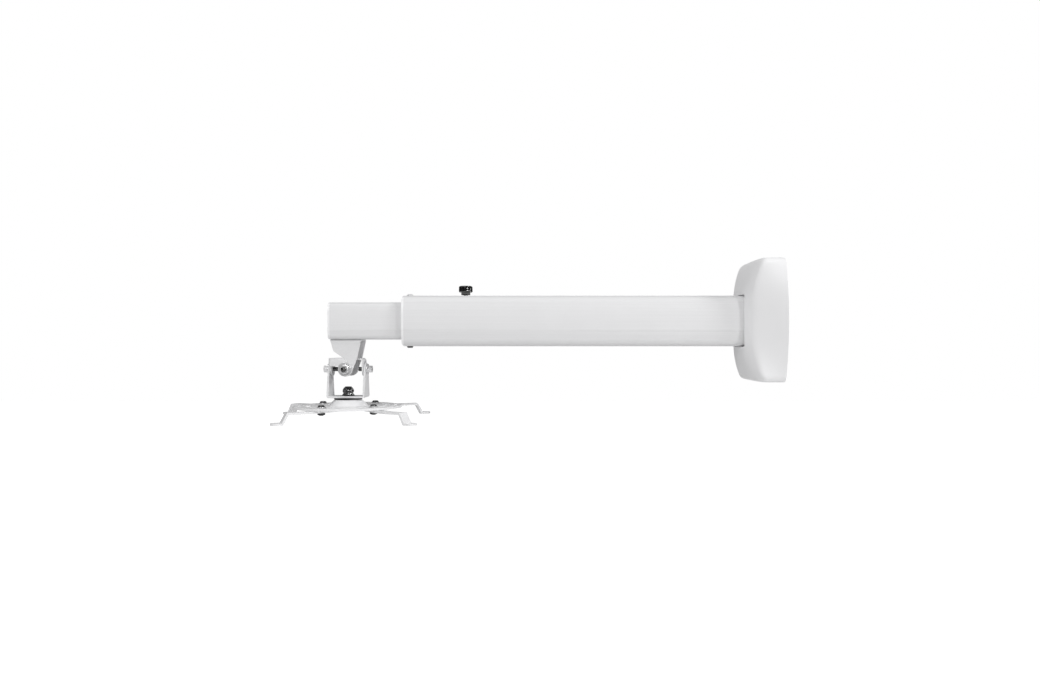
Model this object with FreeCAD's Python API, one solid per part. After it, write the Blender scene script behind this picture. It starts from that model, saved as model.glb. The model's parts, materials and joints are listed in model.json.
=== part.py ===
"""Telescopic wall mount for a projector.

Millimetres. The origin is the centre of the wall plate's back face. The wall is the plane X = 0,
the tubes run towards -X, and +Z is up.
"""
import FreeCAD, Part
import math
import os
from FreeCAD import Vector

# Clearances
GAP = 0.3             # between pieces that move past each other
FIT = 0.08            # radial play of a bolt in a turning joint
SEAT = 0.1            # between a sleeve and the tube that it is pushed into
SLOT_PLAY = 0.4       # radial play of a clamp screw in its slot

# Tubes
TUBE_SIZE = 60.0      # outer tube over its flat lands
TUBE_WALL = 3.2       # at the lands
TUBE_CORNER = 8.0
TUBE_DIP = 1.6        # how far the flanks fall below the lands
TUBE_LENGTH = 433.6
INNER_SIZE = 44.0
INNER_WALL = 2.8
INNER_CORNER = 5.0
INNER_DIP = 0.9
INNER_LENGTH = 337.6
INNER_SHOWN = 88.0    # length of the small tube in front of the large one, cap and ring included
LAND_WIDTH = 23.0     # raised flat strip along the middle of each face
LAND_STEP = 0.25
RING_THICK = 2.4      # lip of the guide collar and of the end cap
SLEEVE_LENGTH = 30.0
GLIDE_LENGTH = 20.0

# Wall plate and cover
PLATE_SIZE = 116.0
PLATE_THICK = 4.0
PLATE_CORNER = 8.0
BOLT_SPACING = 88.0   # between the wall bolts, both ways
BOLT_SLOT_R = 4.5
BOLT_SLOT_TRAVEL = 12.0
SOCKET_LENGTH = 60.0
SOCKET_WALL = 4.0
COVER_HALF_HEIGHT = 71.0
COVER_HALF_WIDTH = 73.0     # at mid height, on the wall
COVER_CORNER_WIDTH = 60.0   # half width at the top and bottom edges
COVER_WAIST = 40.4          # mid-height half width at the cover's full depth
COVER_DEPTH = 44.5
COVER_BOW_Y = 11.0          # fall of the front at BOW_REACH_Y to each side
COVER_BOW_Z = 14.0          # fall of the front at BOW_REACH_Z up and down
BOW_REACH_Y = 52.0
BOW_REACH_Z = 70.0
BOW_POWER_Y = 2.0
BOW_POWER_Z = 2.7
COVER_WALL = 2.5
COVER_EDGE = 5.0            # radius of the soft edge round the front
COVER_MOUTH_CORNER = 2.0    # corners of the tube's opening

# Lock knob and collar screws
KNOB_FROM_MOUTH = 72.0      # knob axis to the outer tube's mouth
KNOB_R = 8.2
KNOB_CAP = 7.7
KNOB_SOCKET = 4.6           # stem's depth in the cap
KNOB_BOSS_R = 5.4
KNOB_BOSS = 3.1
KNOB_LIFT = 1.4             # boss above the tube
KNOB_LOBES = 7
KNOB_HOLLOW_R = 1.9
KNOB_EDGE = 1.2             # chamfer round the cap's top
LOCK_R = 2.5
INSERT_R = 4.5
SET_FROM_MOUTH = 5.2        # collar screws to the outer tube's mouth
SET_R = 1.6
SET_HEAD_R = 3.6
SET_HEAD = 2.0
TUBE_SCREW_FROM_PLATE = 16.0
TUBE_SCREW_R = 2.5
TUBE_SCREW_HEAD_R = 4.6
TUBE_SCREW_HEAD = 2.4

# Hanger under the inner tube
HEAD_SETBACK = 19.0         # head axis to the inner tube's outer end
HEAD_DROP = 35.4            # head axis below the inner tube
HANGER_HALF = 18.4          # half length of the top plate
HANGER_WIDTH = 27.2
CHEEK_STEP = (-14.5, 21.8)  # front corner where a cheek starts to slope in, from the head's axes
CHEEK_SLOPE = (-12.1, 20.0) # foot of that corner
CHEEK_REAR = (13.8, 14.0)   # rear corner where a cheek turns in to its eye
SHEET = 2.0
BEND_R = 3.5                # outer radius of the sheet's bends
EYE_R = 8.4
HANGER_SCREW_R = 2.5
HANGER_SCREW_HEAD_R = 4.4
HANGER_SCREW_HEAD = 2.6
HANGER_SCREW_PITCH = 14.0
NUT_PLATE_THICK = 3.0
NUT_PLATE_HALF = 10.0       # half width
NUT_PLATE_EDGE = 4.5        # screw axis to the plate's end
CAP_PLUG = 3.6              # depth of the end cap's plug

# Gimbal between hanger and yoke
GIMBAL_HALF = 19.9          # outer face of the web and of the strip's leg
GIMBAL_TOP = 13.2           # above the axes
STRIP_HALF = 8.0            # half width of the strip between the cheeks
FLAP_LOW = 3.8              # lower edge of a flap beside the web, above the axes
WASHER_THICK = 1.2
ROLL_R = 3.0
ROLL_WASHER_R = 8.0
ROLL_FLATS = 10.0
ROLL_NUT = 4.4
ROLL_HEAD = 4.0
BOLT_TIP = 1.6              # thread showing past the roll nut
TILT_R = 2.5
TILT_WASHER_R = 6.2
TILT_FLATS = 8.0
TILT_HEAD = 4.8
TILT_TIP = 5.2              # thread showing inside the gimbal

# Yoke and swivel
YOKE_SHEET = 2.2
YOKE_DROP = 34.2            # underside of the yoke below the axes
YOKE_EAR_R = 7.5
YOKE_BASE_HALF = 13.5       # half width of the base, front to back
YOKE_BEND_R = 2.8
SWIVEL_R = 4.0
SWIVEL_FLATS = 12.0
SWIVEL_NUT = 9.4
SWIVEL_TIP = 0.4            # bolt past the lock nut
SWIVEL_HEAD = 4.0
SWIVEL_WASHER_R = 7.4
FRICTION_R = 16.5
FRICTION_THICK = 1.4

# Round plate
DISC_R = 63.5
DISC_EDGE = 0.8             # chamfer round the rim
DISC_THICK = 2.5
DISH_RISE = 7.7             # raised centre above the plate
DISH_TOP_R = 15.5
DISH_FOOT_R = 23.0
RING_FROM_RIM = 17.5        # rim to the circle of the clamp screws' slots
RING_SWEEP = 74.0           # degrees from end to end of a clamp slot's centre line
INNER_RING_WEB = 9.7        # plate left between the inner slots and the clamp slots
INNER_RING_SLOT = 2.4
INNER_RING_SWEEP = 52.0
RIM_RING_FROM_RIM = 7.0
RIM_RING_SLOT = 1.8
RIM_RING_SWEEP = 44.0

# Arms
ARM_WIDTH = 14.0
ARM_THICK = 2.5
ARM_BAR = 60.0              # slotted bar, tail end to elbow
ARM_ELBOW = 25.0            # degrees that the outer stretch turns
ARM_REACH = 20.0            # elbow to the step down
ARM_RUN = 6.0               # level distance that the step covers
ARM_DROP = 11.5             # arm's top face to the foot's top face
ARM_FOOT = 4.4              # step to the foot's hole
FOOT_HOLE_R = 2.2
SLOT_MARGIN = 8.0           # tail end to the slot's first stop
CLAMP_R = 2.5
CLAMP_HEAD_R = 3.9
CLAMP_HEAD = 1.8
CLAMP_WASHER_R = 5.2
CLAMP_WASHER = 0.8
CLAMP_FLATS = 8.0
CLAMP_NUT = 2.6
CLAMP_TIP = 0.6             # screw past its nut

FRONT_LEFT_OUT = 22.5       # screw to elbow
FRONT_RIGHT_OUT = 39.7
REAR_LEFT_OUT = 50.0
REAR_RIGHT_OUT = 41.7

# Each arm: angle of its screw on the plate, direction of its bar, screw to elbow, side of its elbow
ARMS = {
    "front_left": (243.7, 233.0, FRONT_LEFT_OUT, -1),
    "front_right": (-37.3, -52.0, FRONT_RIGHT_OUT, 1),
    "rear_left": (145.1, 130.0, REAR_LEFT_OUT, 1),
    "rear_right": (59.1, 50.0, REAR_RIGHT_OUT, -1),
}

# Places that follow from the sizes
PLATE_X = -PLATE_THICK
TUBE_MOUTH_X = PLATE_X - TUBE_LENGTH
RING_X = TUBE_MOUTH_X - RING_THICK
INNER_END_X = RING_X - INNER_SHOWN
INNER_TUBE_X = INNER_END_X + RING_THICK
TUBE_HALF = TUBE_SIZE / 2
TUBE_BORE = TUBE_HALF - TUBE_WALL
INNER_HALF = INNER_SIZE / 2
INNER_BORE = INNER_HALF - INNER_WALL
KNOB_X = RING_X + KNOB_FROM_MOUTH
SET_X = RING_X + SET_FROM_MOUTH
HEAD_X = INNER_END_X + HEAD_SETBACK
HANGER_Z = -INNER_HALF
HEAD_Z = HANGER_Z - HEAD_DROP
HANGER_SIDE = HANGER_WIDTH / 2
FLAP_IN = HANGER_SIDE + GAP
FLAP_OUT = FLAP_IN + SHEET
YOKE_IN = GIMBAL_HALF + GAP
YOKE_OUT = YOKE_IN + YOKE_SHEET
YOKE_Z = HEAD_Z - YOKE_DROP
FRICTION_Z = YOKE_Z - GAP - FRICTION_THICK
DISH_Z = FRICTION_Z
DISC_Z = DISH_Z - DISH_RISE
ARM_Z = DISC_Z - DISC_THICK - GAP
CLAMP_SLOT_R = CLAMP_R + SLOT_PLAY
RING_R = DISC_R - RING_FROM_RIM
RIM_RING_R = DISC_R - RIM_RING_FROM_RIM
INNER_RING_R = RING_R - CLAMP_SLOT_R - INNER_RING_WEB - INNER_RING_SLOT
X_AXIS = Vector(1, 0, 0)
Y_AXIS = Vector(0, 1, 0)
Z_AXIS = Vector(0, 0, 1)


def box(x0, x1, y0, y1, z0, z1):
    return Part.makeBox(x1 - x0, y1 - y0, z1 - z0, Vector(x0, y0, z0))


def rod(start, direction, radius, length):
    return Part.makeCylinder(radius, length, start, direction)


def joined(shapes):
    """One solid from pieces that share volume."""
    first = shapes[0]
    return first.fuse(shapes[1:]).removeSplitter()


def outline(points, place):
    """Closed face from a list of corners. A pair of corners in one entry is an arc, mid and end."""
    edges = []
    last = place(*points[0])
    for entry in points[1:] + [points[0]]:
        if isinstance(entry[0], tuple):
            mid = place(*entry[0])
            end = place(*entry[1])
            edges.append(Part.Arc(last, mid, end).toShape())
        else:
            end = place(*entry)
            edges.append(Part.makeLine(last, end))
        last = end
    return Part.Face(Part.Wire(edges))


def on_polar(radius, degrees):
    angle = math.radians(degrees)
    return (radius * math.cos(angle), radius * math.sin(angle))


def rounded_rectangle(half_u, half_v, radius, place):
    """Rectangle with round corners about the middle of a plane."""
    bulge = radius * (1 - math.sqrt(0.5))
    u = half_u - radius
    v = half_v - radius
    points = [(-u, -half_v), (u, -half_v)]
    points.append(((half_u - bulge, -half_v + bulge), (half_u, -v)))
    points.append((half_u, v))
    points.append(((half_u - bulge, half_v - bulge), (u, half_v)))
    points.append((-u, half_v))
    points.append(((-half_u + bulge, half_v - bulge), (-half_u, v)))
    points.append((-half_u, -v))
    edge = outline(points, place)
    corner = Part.Arc(place(-half_u, -v), place(-half_u + bulge, -half_v + bulge), place(-u, -half_v))
    closing = edge.OuterWire.Edges[:-1] + [corner.toShape()]
    return Part.Face(Part.Wire(closing))


def square_bar(x0, x1, half, radius):
    """Square bar with round edges along X."""
    face = rounded_rectangle(half, half, radius, lambda u, v: Vector(x0, u, v))
    return face.extrude(Vector(x1 - x0, 0, 0))


def tube_section(half, corner, dip, x):
    """Face of an extrusion: on each side a raised land, then flanks that fall to round corners."""
    land = LAND_WIDTH / 2
    low = half - dip
    c = low - corner
    bulge = c + corner * math.sqrt(0.5)
    edges = []
    for turn in range(4):
        cos = (1, 0, -1, 0)[turn]
        sin = (0, 1, 0, -1)[turn]

        def place(u, v):
            return Vector(x, u * cos - v * sin, u * sin + v * cos)

        flank_mid = (half - LAND_STEP + low) / 2 + (half - LAND_STEP - low) * 0.2
        edges.append(Part.makeLine(place(land, half), place(-land, half)))
        edges.append(Part.makeLine(place(-land, half), place(-land, half - LAND_STEP)))
        left_mid = place(-(land + c) / 2, flank_mid)
        edges.append(Part.Arc(place(-land, half - LAND_STEP), left_mid, place(-c, low)).toShape())
        edges.append(Part.Arc(place(-c, low), place(-bulge, bulge), place(-low, c)).toShape())
        next_mid = place(-flank_mid, (land + c) / 2)
        edges.append(Part.Arc(place(-low, c), next_mid, place(-half + LAND_STEP, land)).toShape())
        edges.append(Part.makeLine(place(-half + LAND_STEP, land), place(-half, land)))
    return Part.Face(Part.Wire(edges))


def extruded_tube(x0, x1, half, corner, dip, wall):
    outer = tube_section(half, corner, dip, x0).extrude(Vector(x1 - x0, 0, 0))
    bore = square_bar(x0 - 1, x1 + 1, half - wall, corner - wall + dip)
    return outer.cut(bore)


def hex_bar(start, direction, flats, height):
    """Hexagonal head or nut with its corners turned off at the outer end."""
    radius = flats / math.sqrt(3)
    points = []
    for step in range(7):
        angle = math.radians(60 * step + 30)
        points.append(Vector(radius * math.cos(angle), radius * math.sin(angle), 0))
    body = Part.Face(Part.makePolygon(points)).extrude(Vector(0, 0, height))
    slope = radius - flats * 0.48
    cone = Part.makeCone(radius + height, flats * 0.48, height + slope, Vector(0, 0, -slope))
    body = body.common(cone.fuse(Part.makeCylinder(radius, height * 0.8)))
    turn = FreeCAD.Rotation(Z_AXIS, direction)
    body.Placement = FreeCAD.Placement(start, turn)
    return body


def washer(start, direction, radius, bore, thick):
    return rod(start, direction, radius, thick).cut(rod(start, direction, bore, thick))


def pan_head(start, direction, radius, height):
    """Low screw head with a sloping rim and a cross recess."""
    side = height * 0.55
    head = Part.makeCylinder(radius, side)
    head = head.fuse(Part.makeCone(radius, radius * 0.74, height - side, Vector(0, 0, side)))
    arm = radius * 0.55
    slot = radius * 0.13
    deep = height * 0.5
    for long_x, long_y in ((arm, slot), (slot, arm)):
        head = head.cut(box(-long_x, long_x, -long_y, long_y, height - deep, height + 1))
    head.Placement = FreeCAD.Placement(start, FreeCAD.Rotation(Z_AXIS, direction))
    return head


def wall_plate():
    """Plate with four slotted holes and a welded square socket for the outer tube."""
    half = PLATE_SIZE / 2
    face = rounded_rectangle(half, half, PLATE_CORNER, lambda u, v: Vector(PLATE_X, u, v))
    plate = face.extrude(Vector(PLATE_THICK, 0, 0))
    for side in (-1, 1):
        for level in (-1, 1):
            y = side * BOLT_SPACING / 2
            z = level * BOLT_SPACING / 2
            reach = BOLT_SLOT_TRAVEL / 2
            hole = box(PLATE_X - 1, 1, y - reach, y + reach, z - BOLT_SLOT_R, z + BOLT_SLOT_R)
            plate = plate.cut(hole)
            for end in (y - reach, y + reach):
                plate = plate.cut(rod(Vector(PLATE_X - 1, end, z), X_AXIS, BOLT_SLOT_R, PLATE_THICK + 2))
    corner = TUBE_CORNER - TUBE_WALL + TUBE_DIP
    half_out = TUBE_BORE - SEAT
    socket = square_bar(PLATE_X - SOCKET_LENGTH, PLATE_X + 1, half_out, corner)
    bore = square_bar(PLATE_X - SOCKET_LENGTH - 1, PLATE_X, half_out - SOCKET_WALL, corner - SOCKET_WALL)
    result = plate.fuse(socket.cut(bore))
    for axis, place in tube_screw_places():
        result = result.cut(rod(place, axis.negative(), TUBE_SCREW_R, TUBE_WALL + SOCKET_WALL + 1))
    return result.removeSplitter()


def tube_screw_places():
    """Outward direction and seat of each of the four screws that hold the outer tube."""
    x = PLATE_X - TUBE_SCREW_FROM_PLATE
    places = []
    for axis in (Y_AXIS, Y_AXIS.negative(), Z_AXIS, Z_AXIS.negative()):
        places.append((axis, Vector(x, 0, 0) + axis * TUBE_HALF))
    return places


def tube_screws():
    screws = []
    for axis, place in tube_screw_places():
        shank = rod(place, axis.negative(), TUBE_SCREW_R, TUBE_WALL + SOCKET_WALL + 0.5)
        screws.append(shank.fuse(pan_head(place, axis, TUBE_SCREW_HEAD_R, TUBE_SCREW_HEAD)).removeSplitter())
    return Part.makeCompound(screws)


def outer_tube():
    tube = extruded_tube(TUBE_MOUTH_X, PLATE_X, TUBE_HALF, TUBE_CORNER, TUBE_DIP, TUBE_WALL)
    for axis, place in tube_screw_places():
        tube = tube.cut(rod(place, axis.negative(), TUBE_SCREW_R, TUBE_WALL + 1))
    for axis in (Z_AXIS, Z_AXIS.negative()):
        tube = tube.cut(rod(Vector(SET_X, 0, 0), axis, SET_R, TUBE_SIZE))
    return tube.cut(rod(Vector(KNOB_X, 0, 0), Z_AXIS, INSERT_R - 1, TUBE_SIZE))


def cover_block(inset):
    """Domed block: bulged sides that lean inwards, flat ends, and a front bowed both ways."""
    height = COVER_HALF_HEIGHT - inset
    corner = COVER_CORNER_WIDTH - inset

    def section(depth, waist):
        points = [(-corner, -height), (corner, -height)]
        points.append(((waist, 0), (corner, height)))
        points.append((-corner, height))
        face = outline(points, lambda u, v: Vector(-depth, u, v))
        left = Part.Arc(Vector(-depth, -corner, height), Vector(-depth, -waist, 0),
                        Vector(-depth, -corner, -height))
        return Part.Wire(face.OuterWire.Edges[:-1] + [left.toShape()])

    start = section(GAP, COVER_HALF_WIDTH - inset)
    end = section(COVER_DEPTH, COVER_WAIST - inset)
    block = Part.makeLoft([start, end], True, True)
    reach = 1.2 * COVER_HALF_WIDTH
    steps = 8
    grid = []
    for row in range(steps + 1):
        y = -reach + 2 * reach * row / steps
        line = []
        for column in range(steps + 1):
            z = -reach + 2 * reach * column / steps
            across = COVER_BOW_Y * (abs(y) / BOW_REACH_Y) ** BOW_POWER_Y
            upward = COVER_BOW_Z * (abs(z) / BOW_REACH_Z) ** BOW_POWER_Z
            line.append(Vector(math.hypot(across, upward) + inset - COVER_DEPTH, y, z))
        grid.append(line)
    front = Part.BSplineSurface()
    front.interpolate(grid)
    beyond = front.toShape().extrude(Vector(-2 * COVER_DEPTH, 0, 0))
    return block.cut(beyond)


def wall_cover():
    """Thin shell, soft round its front, with a square opening that clears the outer tube."""
    block = cover_block(0.0)
    front = max(block.Faces, key=lambda face: -face.CenterOfMass.x)
    block = block.makeFillet(COVER_EDGE, front.Edges)
    shell = block.cut(cover_block(COVER_WALL))
    opening = square_bar(-COVER_DEPTH - 1, 0, TUBE_HALF + 2 * GAP, COVER_MOUTH_CORNER)
    return shell.cut(opening)


def guide_collar():
    """Lip over the outer tube's mouth and a sleeve inside it, with a square way for the inner tube."""
    corner = TUBE_CORNER - TUBE_WALL + TUBE_DIP
    lip = tube_section(TUBE_HALF, TUBE_CORNER, TUBE_DIP, RING_X).extrude(Vector(RING_THICK, 0, 0))
    sleeve = square_bar(TUBE_MOUTH_X - 0.5, TUBE_MOUTH_X + SLEEVE_LENGTH, TUBE_BORE - SEAT, corner)
    way = square_bar(RING_X - 1, TUBE_MOUTH_X + SLEEVE_LENGTH + 1, INNER_HALF + GAP, INNER_CORNER)
    collar = lip.fuse(sleeve).cut(way)
    for axis in (Z_AXIS, Z_AXIS.negative()):
        collar = collar.cut(rod(Vector(SET_X, 0, 0), axis, SET_R, TUBE_SIZE))
    return collar.removeSplitter()


def set_screw(axis):
    """Low-headed screw through the outer tube into the collar's sleeve."""
    seat = Vector(SET_X, 0, 0) + axis * TUBE_HALF
    shank = rod(seat, axis.negative(), SET_R, TUBE_WALL + 3)
    return shank.fuse(pan_head(seat, axis, SET_HEAD_R, SET_HEAD)).removeSplitter()


def knob_insert():
    """Threaded insert under the outer tube's top wall."""
    top = TUBE_HALF
    wide = rod(Vector(KNOB_X, 0, INNER_HALF + 2 * GAP), Z_AXIS, INSERT_R, TUBE_BORE - INNER_HALF - 2 * GAP)
    neck = rod(Vector(KNOB_X, 0, INNER_HALF + 2 * GAP), Z_AXIS, INSERT_R - 1, top - INNER_HALF - 2 * GAP)
    hole = rod(Vector(KNOB_X, 0, 0), Z_AXIS, LOCK_R + FIT, TUBE_SIZE)
    return wide.fuse(neck).cut(hole).removeSplitter()


def lock_knob():
    """Cap with finger hollows round its rim on a round boss."""
    foot = TUBE_HALF + KNOB_LIFT
    base = foot + KNOB_BOSS
    top = base + KNOB_CAP
    edge = KNOB_EDGE
    profile = [(0, base), (KNOB_R - edge / 2, base), (KNOB_R, base + edge / 2), (KNOB_R, top - edge)]
    profile += [(KNOB_R - edge, top), (0, top)]
    cap = outline(profile, lambda u, v: Vector(KNOB_X + u, 0, v))
    cap = cap.revolve(Vector(KNOB_X, 0, 0), Z_AXIS, 360)
    for lobe in range(KNOB_LOBES):
        u, v = on_polar(KNOB_R + KNOB_HOLLOW_R * 0.55, 360 * lobe / KNOB_LOBES)
        cap = cap.cut(rod(Vector(KNOB_X + u, v, base - 1), Z_AXIS, KNOB_HOLLOW_R, KNOB_CAP + 2))
    boss = rod(Vector(KNOB_X, 0, foot), Z_AXIS, KNOB_BOSS_R, KNOB_BOSS + 1)
    bore = rod(Vector(KNOB_X, 0, foot - 1), Z_AXIS, LOCK_R, KNOB_BOSS + KNOB_SOCKET + 1)
    return cap.fuse(boss).cut(bore).removeSplitter()


def lock_stem():
    """Threaded stem from just above the inner tube up into the knob."""
    low = INNER_HALF + GAP
    high = TUBE_HALF + KNOB_LIFT + KNOB_BOSS + KNOB_SOCKET
    return rod(Vector(KNOB_X, 0, low), Z_AXIS, LOCK_R, high - low)


def hanger_screw_places():
    return [HEAD_X - HANGER_SCREW_PITCH / 2, HEAD_X + HANGER_SCREW_PITCH / 2]


def inner_tube():
    end = INNER_TUBE_X + INNER_LENGTH
    tube = extruded_tube(INNER_TUBE_X, end, INNER_HALF, INNER_CORNER, INNER_DIP, INNER_WALL)
    for x in hanger_screw_places():
        tube = tube.cut(rod(Vector(x, 0, 0), Z_AXIS.negative(), HANGER_SCREW_R, INNER_SIZE))
    return tube


def inner_end_cap():
    """Lip the size of the inner tube with a short hollow plug behind it."""
    corner = INNER_CORNER - INNER_WALL + INNER_DIP
    lip = tube_section(INNER_HALF, INNER_CORNER, INNER_DIP, INNER_END_X).extrude(Vector(RING_THICK, 0, 0))
    plug = square_bar(INNER_TUBE_X - 0.5, INNER_TUBE_X + CAP_PLUG, INNER_BORE - SEAT, corner)
    hollow = square_bar(INNER_TUBE_X, INNER_TUBE_X + CAP_PLUG + 1, INNER_BORE - SEAT - 2, corner - 2)
    return lip.fuse(plug.cut(hollow)).removeSplitter()


def rear_glide():
    """Plastic sleeve on the hidden end of the inner tube that runs in the outer tube."""
    end = INNER_TUBE_X + INNER_LENGTH
    corner = TUBE_CORNER - TUBE_WALL + TUBE_DIP
    sleeve = square_bar(end - GLIDE_LENGTH, end + 2, TUBE_BORE - GAP, corner)
    sleeve = sleeve.cut(square_bar(end - GLIDE_LENGTH - 1, end, INNER_HALF, INNER_CORNER))
    return sleeve.cut(square_bar(end - 1, end + 3, INNER_BORE, INNER_CORNER))


def hanger_nut_plate():
    """Tapped plate that lies on the floor of the inner tube."""
    floor = -INNER_BORE
    half = HANGER_SCREW_PITCH / 2 + NUT_PLATE_EDGE
    side = NUT_PLATE_HALF
    plate = box(HEAD_X - half, HEAD_X + half, -side, side, floor, floor + NUT_PLATE_THICK)
    for x in hanger_screw_places():
        plate = plate.cut(rod(Vector(x, 0, 0), Z_AXIS.negative(), HANGER_SCREW_R, INNER_SIZE))
    return plate


def head_place(u, v):
    """Side view of the head: u along X and v up, from the crossing of its axes."""
    return Vector(HEAD_X + u, 0, HEAD_Z + v)


def side_prism(points, half):
    """Side-view outline carried from -half to +half in Y."""
    face = outline(points, head_place)
    face.translate(Vector(0, -half, 0))
    return face.extrude(Vector(0, 2 * half, 0))


def end_prism(points, x0, x1):
    """End-view outline about the head's axes carried from x0 to x1."""
    face = outline(points, lambda u, v: Vector(x0, u, HEAD_Z + v))
    return face.extrude(Vector(x1 - x0, 0, 0))


def hanger_bracket():
    """Channel bent from one sheet, its cheeks cut to taper down to a round eye."""
    half = HANGER_HALF
    deep = 2 * HEAD_DROP
    centre = HANGER_Z - deep
    face_out = rounded_rectangle(HANGER_SIDE, deep, BEND_R, lambda u, v: Vector(HEAD_X - half, u, centre + v))
    inner_r = BEND_R - SHEET
    face_in = rounded_rectangle(HANGER_SIDE - SHEET, deep - SHEET, inner_r,
                                lambda u, v: Vector(HEAD_X - half, u, centre + v))
    channel = face_out.extrude(Vector(2 * half + 1, 0, 0)).cut(face_in.extrude(Vector(2 * half + 1, 0, 0)))
    top = HEAD_DROP
    neck = on_polar(EYE_R, 160)
    throat = on_polar(EYE_R * 1.15, 118)
    heel = on_polar(EYE_R, -12)
    cheek = [(-half, top), CHEEK_STEP, CHEEK_SLOPE, (-2.7, GIMBAL_TOP + GAP)]
    cheek.append((throat, neck))
    cheek.append(((0, -EYE_R), heel))
    cheek.append(CHEEK_REAR)
    cheek.append((half, top))
    bracket = channel.common(side_prism(cheek, HANGER_SIDE + 1))
    bracket = bracket.cut(rod(head_place(0, 0) - Y_AXIS * HANGER_WIDTH, Y_AXIS, ROLL_R + FIT, 2 * HANGER_WIDTH))
    for x in hanger_screw_places():
        bracket = bracket.cut(rod(Vector(x, 0, HANGER_Z + 1), Z_AXIS.negative(), HANGER_SCREW_R, SHEET + 2))
    return bracket


def hanger_screws():
    screws = []
    for x in hanger_screw_places():
        seat = Vector(x, 0, HANGER_Z - SHEET)
        shank = rod(seat, Z_AXIS, HANGER_SCREW_R, SHEET + INNER_WALL + NUT_PLATE_THICK)
        head = pan_head(seat, Z_AXIS.negative(), HANGER_SCREW_HEAD_R, HANGER_SCREW_HEAD)
        screws.append(shank.fuse(head).removeSplitter())
    return Part.makeCompound(screws)


def gimbal_bracket():
    """One bent sheet: a web, two flaps outside the hanger's cheeks, and a strip over to a leg."""
    inner_r = BEND_R - SHEET
    far = 4 * GIMBAL_HALF
    low = -EYE_R - 1
    high = GIMBAL_TOP

    def lying(half_u, half_v, radius):
        middle = HEAD_X - GIMBAL_HALF + far
        face = rounded_rectangle(half_u, half_v, radius, lambda u, v: Vector(middle + u, v, HEAD_Z + low))
        return face.extrude(Vector(0, 0, high - low))

    folded = lying(far, FLAP_OUT, BEND_R).cut(lying(far - SHEET, FLAP_IN, inner_r))
    back = -GIMBAL_HALF - 1
    eye_top = on_polar(EYE_R, 50)
    eye_heel = (-math.sqrt(EYE_R ** 2 - FLAP_LOW ** 2), FLAP_LOW)
    flap = [(back, high), (-2.8, high), eye_top, (on_polar(EYE_R, -78), eye_heel), (back, FLAP_LOW)]
    flaps = folded.common(side_prism(flap, FLAP_OUT + 1))

    web = [(-STRIP_HALF, high), (-STRIP_HALF, 0), ((0, -STRIP_HALF), (STRIP_HALF, 0)), (STRIP_HALF, high)]
    web_prism = end_prism(web, HEAD_X - GIMBAL_HALF, HEAD_X + GIMBAL_HALF)
    deep = 3 * GIMBAL_HALF
    middle = high - deep

    def standing(half_u, half_v, radius):
        face = rounded_rectangle(half_u, half_v, radius, lambda u, v: head_place(u, middle + v))
        face.translate(Vector(0, -STRIP_HALF - 1, 0))
        return face.extrude(Vector(0, 2 * STRIP_HALF + 2, 0))

    arch = standing(GIMBAL_HALF, deep, BEND_R).cut(standing(GIMBAL_HALF - SHEET, deep - SHEET, inner_r))
    bracket = flaps.fuse(arch.common(web_prism))
    bracket = bracket.cut(rod(head_place(0, 0) - Y_AXIS * HANGER_WIDTH, Y_AXIS, ROLL_R, 2 * HANGER_WIDTH))
    bracket = bracket.cut(rod(head_place(-YOKE_OUT, 0), X_AXIS, TILT_R, 2 * YOKE_OUT))
    return bracket.removeSplitter()


def roll_bolt():
    """Bolt from the far side through flaps and cheeks, its tip past the near nut."""
    head_seat = FLAP_OUT + WASHER_THICK
    length = 2 * head_seat + ROLL_NUT + BOLT_TIP
    start = head_place(0, 0) + Y_AXIS * head_seat
    shank = rod(start, Y_AXIS.negative(), ROLL_R, length)
    return shank.fuse(hex_bar(start, Y_AXIS, ROLL_FLATS, ROLL_HEAD)).removeSplitter()


def roll_nut():
    start = head_place(0, 0) - Y_AXIS * (FLAP_OUT + WASHER_THICK)
    nut = hex_bar(start, Y_AXIS.negative(), ROLL_FLATS, ROLL_NUT)
    return nut.cut(rod(start, Y_AXIS.negative(), ROLL_R, ROLL_NUT))


def roll_washers():
    pair = []
    for side in (-1, 1):
        axis = Y_AXIS * side
        pair.append(washer(head_place(0, 0) + axis * FLAP_OUT, axis, ROLL_WASHER_R, ROLL_R, WASHER_THICK))
    return Part.makeCompound(pair)


def tilt_bolts():
    """Stub bolts through the yoke's ears, screwed into the gimbal, their tips showing inside."""
    pair = []
    for side in (-1, 1):
        axis = X_AXIS * side
        start = head_place(0, 0) + axis * (YOKE_OUT + GAP + WASHER_THICK)
        length = YOKE_OUT + GAP + WASHER_THICK - GIMBAL_HALF + SHEET + TILT_TIP
        shank = rod(start, axis.negative(), TILT_R, length)
        pair.append(shank.fuse(hex_bar(start, axis, TILT_FLATS, TILT_HEAD)).removeSplitter())
    return Part.makeCompound(pair)


def tilt_washers():
    pair = []
    for side in (-1, 1):
        axis = X_AXIS * side
        start = head_place(0, 0) + axis * (YOKE_OUT + GAP)
        pair.append(washer(start, axis, TILT_WASHER_R, TILT_R, WASHER_THICK))
    return Part.makeCompound(pair)


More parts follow.
